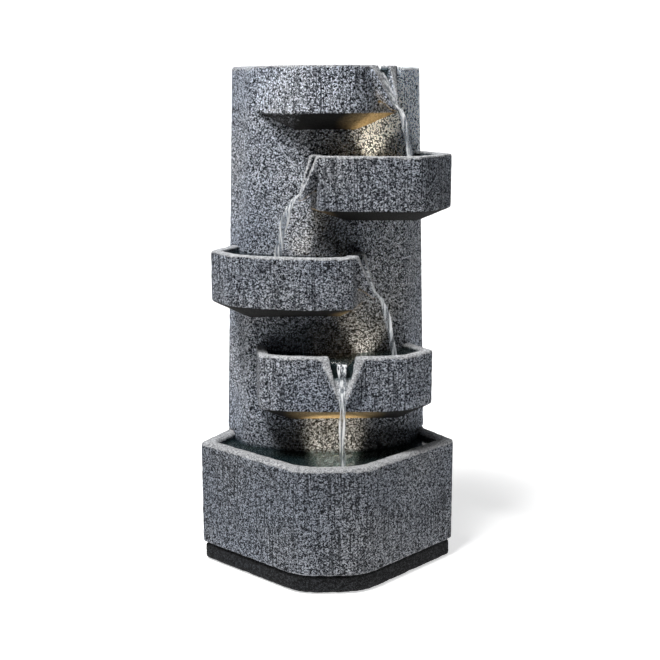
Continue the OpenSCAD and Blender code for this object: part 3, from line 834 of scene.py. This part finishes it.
@dataclass
class WaterWork:
    """All the water: five pools, four streams and their splashes."""

    trees: dict[str, BVHTree] = field(default_factory=dict)

    def seed(self, node: str) -> Vector:
        """A point at the top of a lamp or outlet that stands in the water."""
        low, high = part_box(node)
        return Vector(((low.x + high.x) / 2, low.y, high.z))

    def build(self) -> None:
        """Fills the vessels from the basin up and joins them with streams."""
        still = PoolWater("pool_water").make()
        falling = FallingWater("falling_water").make()
        foam = FallingWater("foam_water", froth=1.0).make()
        pools = {
            "basin": Water("basin_water", "basin", self.seed("lamp_housing_4"),
                           below_rim=6 * MM, pitch=2.8 * MM),
            "bowl_lower": Water("lower_pool_water", "bowl_lower", self.seed("lamp_housing_1")),
            "bowl_middle": Water("middle_pool_water", "bowl_middle", self.seed("lamp_housing_2")),
            "bowl_upper": Water("upper_pool_water", "bowl_upper", self.seed("lamp_housing_3")),
            "bowl_top": Water("top_pool_water", "bowl_top", self.seed("outlet_elbow")),
        }
        streams = [
            Stream("stream_top", Bowl.TOP, turn=52.0, throw=14.4 * MM, channel=18 * MM,
                   into=pools["bowl_upper"].level, fall_w=5.6 * MM),
            Stream("stream_upper", Bowl.UPPER, turn=-74.6, throw=20.2 * MM, channel=12 * MM,
                   into=pools["bowl_middle"].level, fall_w=7.4 * MM, fall_t=2.2 * MM,
                   twist=-1.35),
            Stream("stream_middle", Bowl.MIDDLE, turn=73.4, throw=17.7 * MM, channel=15 * MM,
                   into=pools["bowl_lower"].level, fall_w=5.8 * MM),
            Stream("stream_lower", Bowl.LOWER, turn=0.0, throw=1.3 * MM, channel=20 * MM,
                   into=pools["basin"].level, fall_w=6.2 * MM, reach=12 * MM, twist=0.3),
        ]
        for stream, under in zip(streams, ("bowl_upper", "bowl_middle", "bowl_lower", "basin")):
            stream.build(falling)
            pools[stream.bowl.value].spout = stream
            pools[under].landing = stream.landing
            Splash(stream.name.replace("stream", "splash"), stream.landing).build(foam)
        for vessel, pool in pools.items():
            self.trees[vessel] = pool.build(still)


@dataclass
class StoneWork:
    """The castings that show: plinth, basin, tower, cap and four bowls."""

    trees: dict[str, BVHTree]

    def build(self) -> None:
        """Re-surfaces each casting in its own stone."""
        basin = CastStone("basin_stone", level=0.55, comb=0.72).make()
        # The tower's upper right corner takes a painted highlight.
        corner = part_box("tower_shell")[1]
        tower = CastStone("tower_stone", level=1.05, comb=0.12, top_wear_and_light=0.5,
                          highlight_at=Vector((corner.x, 0.02, corner.z))).make()
        dark = CastStone("plinth_stone", level=0.05, comb=0.1, top_wear_and_light=0.3).make()
        Casting("plinth", "dark_plinth", dark, voxel=1.8 * MM).build()
        Casting("basin", "cast_stone", basin, voxel=1.8 * MM, water=self.trees["basin"]).build()
        Casting("tower_shell", "cast_stone", tower, voxel=2.2 * MM,
                water=self.trees["basin"]).build()
        Casting("tower_cap", "cast_stone", tower).build()
        # Each bowl's underside takes painted lamp light, centred over the lamp in the pool below
        # it.
        below = {Bowl.LOWER: BASIN_LAMP, Bowl.MIDDLE: 1, Bowl.UPPER: 2, Bowl.TOP: 3}
        for bowl, lamp in below.items():
            lamp_pool = sum(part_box(f"lamp_lens_{lamp}"), Vector()) / 2
            lamp_pool.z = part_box(bowl.value)[0].z
            reach = (50 if bowl is Bowl.LOWER else 40) * MM
            stone = CastStone(f"{bowl.value}_stone", level=1.35 if bowl is Bowl.TOP else 0.85,
                              comb=0.7, lamp_pool=lamp_pool, lamp_pool_reach=reach).make()
            Casting(bowl.value, "cast_stone_bowls", stone, voxel=1.25 * MM,
                    water=self.trees[bowl.value]).build()


@dataclass
class ServiceParts:
    """The bought-in and moulded parts: CAD nodes with softened edges and their own finishes."""

    corner: float = 0.35 * MM
    sharp: float = math.radians(35)

    def finishes(self) -> dict[bpy.types.Material, list[str]]:
        """Each finish with the nodes that wear it."""
        lamps = range(1, 5)
        return {
            MattRubber("rubber").make(): [
                "rubber_feet", "door_gasket", "pump_feet", "cable_grommet", "drain_plug",
                "drain_seal", "lead_grommets"],
            MattRubber("lead_jacket", 0.012).make(): [
                "pump_lead", *(f"lamp_lead_{i}" for i in lamps)],
            MouldedPlastic("black_moulding", grey(0.018), 0.5).make(): [
                "rear_cover", "access_door", "pump_body", "pump_volute", "pump_grille",
                "outlet_elbow"],
            MouldedPlastic("grey_moulding", grey(0.05), 0.48).make(): [
                "pump_rotor", "riser_clips", "junction_box", "junction_lid",
                *(f"lamp_housing_{i}" for i in lamps)],
            MouldedPlastic("dial_moulding", (0.32, 0.33, 0.35), 0.3, 0.4).make(): ["flow_dial"],
            StainlessSteel("stainless_steel").make(): ["cover_screws", "door_pins"],
            GroundCeramic("shaft_ceramic").make(): ["pump_shaft"],
            ClearVinyl("clear_vinyl").make(): ["riser_tube"],
            GlowingLens("lamp_glow").make(): [f"lamp_lens_{i}" for i in lamps],
        }

    def build(self) -> None:
        """Dresses every service node in its finish."""
        for finish, nodes in self.finishes().items():
            for node in nodes:
                self.dress(node, finish)

    def dress(self, node: str, finish: bpy.types.Material) -> None:
        """Gives a node its finish, and rounds a lead or breaks the sharp edges of a part."""
        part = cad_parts[node]
        part.data.materials.clear()
        part.data.materials.append(finish)
        part.modifiers.new("weld", "WELD").merge_threshold = WELD
        if "_lead_" in node or node == "pump_lead":
            part.data.shade_smooth()
            rounder = part.modifiers.new("round", "SUBSURF")
            rounder.levels = rounder.render_levels = 1
        else:
            bevel = part.modifiers.new("corner", "BEVEL")
            bevel.width = self.corner
            bevel.segments = 2
            bevel.limit_method = "ANGLE"
            bevel.angle_limit = self.sharp
            bevel.use_clamp_overlap = True
        log.info("%s wears %s", node, finish.name)


@dataclass
class LampLight:
    """The warm light that each lamp sends up out of its pool."""

    watts: dict[int, float]
    warm: Colour = (1.0, 0.88, 0.68)
    tilt: float = math.radians(18)
    cone: float = math.radians(64)
    basin_cone: float = math.radians(40)
    blend: float = 0.7
    softness: float = 3 * MM
    gap: float = 1 * MM

    def build(self) -> None:
        """Sets one small light over each lens."""
        for number, power in self.watts.items():
            low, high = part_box(f"lamp_lens_{number}")
            light = bpy.data.lights.new(f"lamp_light_{number}", "SPOT")
            light.shadow_soft_size = self.softness
            light.spot_size = self.basin_cone if number == BASIN_LAMP else self.cone
            light.spot_blend = self.blend
            light.energy = power
            light.color = self.warm
            lamp = bpy.data.objects.new(f"lamp_light_{number}", light)
            middle = (low + high) / 2
            lamp.location = (middle.x, middle.y, high.z + self.gap)
            lamp.rotation_euler = (math.pi - self.tilt, 0, 0)
            bpy.context.scene.collection.objects.link(lamp)


@dataclass
class Studio:
    """Camera, one soft light and a pale sweep to stand on."""

    eye: Vector = field(default_factory=lambda: Vector((-0.0369, -1.0618, 0.4310)))
    pitch: float = 78.71
    yaw: float = -2.08
    lens: float = 66.1
    sensor: float = 36.0
    aim_height: float = 0.22
    air_tone: Colour = (0.93, 0.96, 1.0)
    air_strength: float = 0.05
    paper_w: float = 1.7
    paper_front: float = -0.34
    paper_back: float = 1.6
    paper_rise: float = 1.6
    paper_bend: float = 0.8
    paper_glow: float = 0.6

    def camera(self) -> None:
        """Sets the camera."""
        data = bpy.data.cameras.new("camera")
        data.lens = self.lens
        data.sensor_width = self.sensor
        made = bpy.data.objects.new("camera", data)
        made.location = self.eye
        made.rotation_euler = (math.radians(self.pitch), 0, math.radians(self.yaw))
        bpy.context.scene.collection.objects.link(made)
        bpy.context.scene.camera = made

    def soft_light(self, name: str, place: Vector, size: float, power: float) -> None:
        """Hangs one square soft box that faces the fountain."""
        data = bpy.data.lights.new(name, "AREA")
        data.size = size
        data.energy = power
        made = bpy.data.objects.new(name, data)
        made.location = place
        aim = Vector((0, 0, self.aim_height)) - place
        made.rotation_euler = aim.to_track_quat("-Z", "Y").to_euler()
        bpy.context.scene.collection.objects.link(made)

    def sweep(self) -> None:
        """A sheet of paper that lies under the fountain and curves up behind it."""
        bm = bmesh.new()
        bmesh.ops.create_grid(bm, x_segments=1, y_segments=1, size=0.5)
        long = self.paper_back - self.paper_front
        bmesh.ops.scale(bm, verts=bm.verts, vec=(self.paper_w, long, 1))
        bmesh.ops.translate(bm, verts=bm.verts, vec=(0, self.paper_front + long / 2, 0))
        back = max(bm.edges, key=lambda e: sum(v.co.y for v in e.verts))
        grown = bmesh.ops.extrude_edge_only(bm, edges=[back])["geom"]
        bmesh.ops.translate(bm, verts=[v for v in grown if isinstance(v, bmesh.types.BMVert)],
                            vec=(0, 0, self.paper_rise))
        bmesh.ops.bevel(bm, geom=[back], offset=self.paper_bend, segments=16, profile=0.5,
                        affect="EDGES", material=-1)
        floor = as_object(bm, "studio_sweep")
        floor.data.shade_smooth()
        g = Graph("studio_paper")
        tone = g.mix(g.noise(3, 2.0), grey(0.90), grey(0.94))
        paper = g.surface(Base_Color=tone, Roughness=0.9, Emission_Color=grey(1.0),
                          Emission_Strength=self.paper_glow)
        floor.data.materials.append(paper)

    def build(self) -> None:
        """Sets the whole studio."""
        self.camera()
        self.sweep()
        scene = bpy.context.scene
        scene.view_settings.view_transform = "Standard"
        world = bpy.data.worlds.new("studio_air")
        world.use_nodes = True
        air = world.node_tree.nodes["Background"]
        air.inputs["Color"].default_value = (*self.air_tone, 1)
        air.inputs["Strength"].default_value = self.air_strength
        scene.world = world
        self.soft_light("key_box", Vector((-0.5, -0.62, 1.85)), 0.5, 42.0)


def main() -> None:
    """Builds the fountain's looks, from the studio to the last screw."""
    logging.basicConfig(level=logging.INFO, format="%(name)s: %(message)s")
    Studio().build()
    water = WaterWork()
    water.build()
    StoneWork(water.trees).build()
    ServiceParts().build()
    LampLight(watts={1: 0.35, 2: 0.22, 3: 0.35, BASIN_LAMP: 2.2}).build()


if __name__ == "__main__":
    main()
